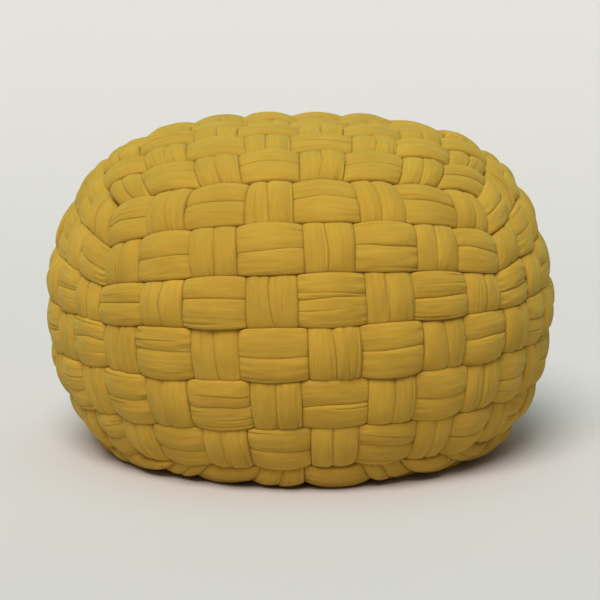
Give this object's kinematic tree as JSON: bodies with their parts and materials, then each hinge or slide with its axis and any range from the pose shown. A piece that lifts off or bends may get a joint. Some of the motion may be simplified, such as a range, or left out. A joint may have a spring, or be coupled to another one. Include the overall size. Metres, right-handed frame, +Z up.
{
  "type": "woven footstool",
  "caption": "Round woven pouf footstool: a filled pad covered all round by stuffed jersey bands in an over and under weave.",
  "frame": {"origin": "on the floor under the middle of the footstool", "axes": "+Z up, -Y towards the front of the picture, +X to its right"},
  "size_m": [0.5068, 0.5064, 0.327],
  "materials": {
    "jersey": "matte mustard cotton jersey",
    "pad_cloth": "matte inner cloth in a darker mustard"
  },
  "bodies": {
    "root": {"hoop_1": "jersey", "hoop_2": "jersey", "hoop_3": "jersey", "hoop_4": "jersey", "hoop_5": "jersey", "hoop_6": "jersey", "front_back_1": "jersey", "front_back_2": "jersey", "front_back_3": "jersey", "front_back_4": "jersey", "front_back_5": "jersey", "front_back_6": "jersey", "front_back_7": "jersey", "front_back_8": "jersey", "left_right_1": "jersey", "left_right_2": "jersey", "left_right_3": "jersey", "left_right_4": "jersey", "left_right_5": "jersey", "left_right_6": "jersey", "left_right_7": "jersey", "left_right_8": "jersey", "filled_pad": "pad_cloth"}
  },
  "joints": []
}
